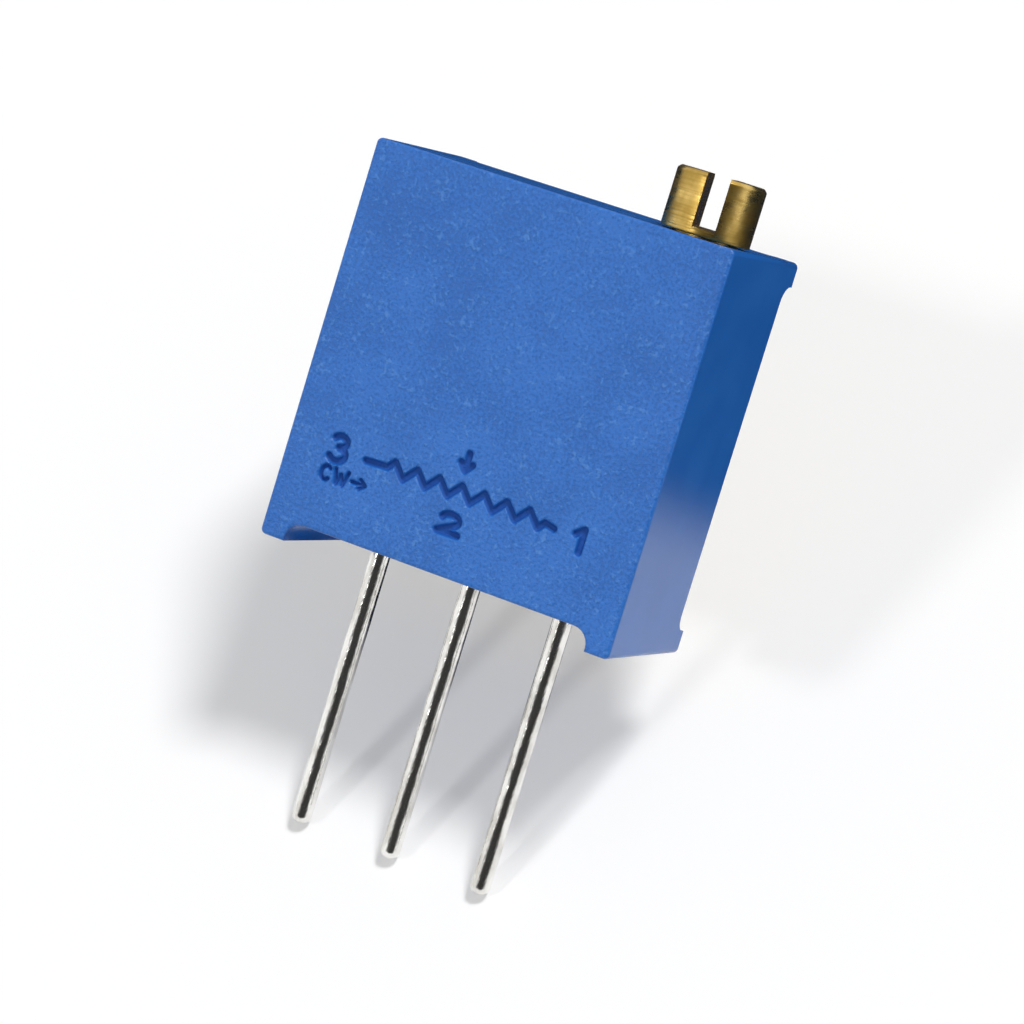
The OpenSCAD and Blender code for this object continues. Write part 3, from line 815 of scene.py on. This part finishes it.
# %% Finishes of the inner pieces
def dress_inner(slot, nodes, tones, roughness, size, depth, metallic=0.0):
    """Dresses CAD nodes in two tones that change over size mm, with a relief of depth mm."""
    made = Finish(slot, Metallic=metallic)
    patch = made.noise(size, 3.0)
    made.drive("Base Color", patch.between(0.3, 0.7).mix(*[(*tone, 1) for tone in tones]))
    made.drive("Roughness", patch * 0.2 + (roughness - 0.1))
    made.bump(made.noise(size / 4, 2.0), depth)
    for node in nodes:
        dress(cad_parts[node], made)


dress_inner("seal_rubber", ["screw_seal"],
            [(0.012, 0.012, 0.013), (0.02, 0.02, 0.02)], 0.55, 0.2, 0.003)
dress_inner("clip_steel", ["screw_retainer"],
            [(0.55, 0.56, 0.58), (0.42, 0.43, 0.45)], 0.3, 0.3, 0.003, metallic=1.0)
dress_inner("wheel_plastic", ["worm_wheel"],
            [(0.78, 0.76, 0.66), (0.70, 0.68, 0.58)], 0.5, 0.8, 0.004)
dress_inner("spring_alloy", ["wiper_spring"],
            [(0.72, 0.58, 0.30), (0.60, 0.47, 0.22)], 0.25, 0.4, 0.002, metallic=1.0)
dress_inner("ceramic", ["ceramic_substrate"],
            [(0.82, 0.82, 0.78), (0.76, 0.76, 0.72)], 0.6, 0.5, 0.004)
dress_inner("cermet_film", ["resistance_track"],
            [(0.03, 0.03, 0.034), (0.05, 0.05, 0.055)], 0.4, 0.2, 0.003)
dress_inner("conductor_film", ["collector_track", "end_pad_1", "end_pad_3"],
            [(0.50, 0.49, 0.45), (0.40, 0.39, 0.36)], 0.4, 0.25, 0.003, metallic=1.0)
dress_inner("solder", ["solder_joint_1", "solder_joint_2", "solder_joint_3"],
            [(0.42, 0.43, 0.45), (0.34, 0.35, 0.37)], 0.35, 0.2, 0.004, metallic=1.0)

# %% [markdown]
# ## Floor and light
# In the photograph the part leans with its pin tips on a white table. The part could be turned to
# lie as it does there, but every piece stays where the CAD has it. So in the part's own frame the
# table is a plane through the tips that rises behind the body. It is seen from its upper side
# only and throws no shadow, so the part is lit from all sides.
#
# Reflections get a floor of their own. Above a soft edge behind the part it is a painted dark
# reflection, which gives the right side its deep blue upper part and pale foot, and under the
# part it is dark as painted shadow.

# %% The pale floor
lean = math.radians(38)
floor_up = np.array([0, math.sin(lean), math.cos(lean)])
tip_edge = np.array([0, pin_r, pin_tip])
floor_size = 400.0
corners = [tip_edge + floor_size * (np.array([sx, 0, 0]) + sy * floor_up)
           for sx, sy in ((-1, -1), (1, -1), (1, 1), (-1, 1))]
floor = make_object("floor", [(corners, [[0, 1, 2, 3]])])
floor.visible_shadow = False

# %% The floor's material
behind_from, behind_full = 10.5, 13.5
under_from, under_full, under_half, under_edge = 4, 6, 2.5, 5
table_white, painted_reflection_blue, table_glow = (0.8, 0.8, 0.8, 1), (0.015, 0.025, 0.05, 1), 0.20
table = bpy.data.materials.new("floor")
table.use_nodes = True
tree = table.node_tree
tree.nodes.remove(tree.nodes["Principled BSDF"])
start = Value(tree, None)
to_camera = start.node("ShaderNodeLightPath", output="Is Camera Ray")
mirrored = start.node("ShaderNodeLightPath", output="Is Glossy Ray")
place = start.node("ShaderNodeTexCoord", output="Object")
up_table = start.node("ShaderNodeVectorMath", {"operation": "DOT_PRODUCT"},
                      {0: place, 1: tuple(floor_up)}, 1) / MM - float(tip_edge @ floor_up)
across = start.node("ShaderNodeSeparateXYZ", inputs={0: place}) / MM
# For reflections only, the floor turns dark blue: a painted reflection behind the part and a
# painted shadow under it.
painted_dark_behind = up_table.between(behind_from, behind_full)
painted_shadow_under = up_table.between(under_from, under_full) * (
    1 - across.math("ABSOLUTE", across).between(under_half, under_edge))
painted_reflection_dark = mirrored * painted_dark_behind.math("MAXIMUM", painted_dark_behind, painted_shadow_under)
matt = start.node("ShaderNodeBsdfDiffuse", inputs={"Color": painted_reflection_dark.mix(table_white, painted_reflection_blue)})
glow = start.node("ShaderNodeEmission", inputs={
    "Color": (1, 1, 1, 1), "Strength": (to_camera + mirrored * (1 - painted_reflection_dark)) * table_glow})
both = start.node("ShaderNodeAddShader", inputs={0: matt, 1: glow})
clear = start.node("ShaderNodeBsdfTransparent")
one_sided = start.node("ShaderNodeMixShader", inputs={
    0: start.node("ShaderNodeNewGeometry", output="Backfacing"), 1: both, 2: clear})
tree.links.new(one_sided.socket, tree.nodes["Material Output"].inputs["Surface"])
floor.data.materials.append(table)
print("floor material:", len(tree.nodes), "nodes")

# %% [markdown]
# An even world gives most of the light. A far soft lamp stands where the broad shadow says that
# the ceiling light was, and a weak, smaller one in front draws the pins' own shadows and lifts
# the marked face. Area lamps near the part would light its top more than its foot. Sun lamps
# light it evenly, and their angle sets how soft the shadows are.


# %% The lamps
def soft_lamp(name, toward, spread, level):
    """A far lamp, spread degrees across, that lights a surface facing it as strongly as a world
    of strength level would: such a world gives pi times its strength."""
    light = bpy.data.lights.new(name, "SUN")
    light.angle = math.radians(spread)
    light.energy = level * math.pi
    lamp = bpy.data.objects.new(name, light)
    lamp.rotation_euler = Vector(toward).to_track_quat("Z", "Y").to_euler()
    scene.collection.objects.link(lamp)
    print(f"{name}: level {level}, {spread} degrees across")


soft_lamp("ceiling", toward=(0.29, -0.47, 0.83), spread=13, level=0.58)
soft_lamp("window", toward=(-0.36, -0.93, 0.0), spread=8, level=0.16)

# %% [markdown]
# For the camera the world is white, and for the light on matt surfaces it is an even grey. For
# reflections it is white too, but dark around one direction, near the camera, as a room is where
# no lamp lights it. That draws the dark line down each pin and the dark flank of the screw.

# %% The world
dark_toward, dark_from, dark_full, dark_share = (0.36, -0.925, 0.12), 0.42, 0.8, 0.96
fill = 0.38
world = bpy.data.worlds.new("studio")
world.use_nodes = True
sky = Value(world.node_tree, None)
background = world.node_tree.nodes["Background"]
background.inputs["Color"].default_value = (1, 1, 1, 1)
seen = sky.node("ShaderNodeLightPath", output="Is Camera Ray")
shine = sky.node("ShaderNodeLightPath", output="Is Glossy Ray")
towards = sky.node("ShaderNodeTexCoord", output="Generated")
cosine = sky.node("ShaderNodeVectorMath", {"operation": "DOT_PRODUCT"},
                  {0: towards, 1: tuple(unit(dark_toward))}, 1)
room = 1.0 - cosine.between(dark_from, dark_full) * dark_share
strength = seen + (1 - seen) * (shine * room + (1 - shine) * fill)
world.node_tree.links.new(strength.socket, background.inputs["Strength"])
scene.world = world
scene.view_settings.view_transform = "Standard"
print("world level on matt surfaces:", fill)
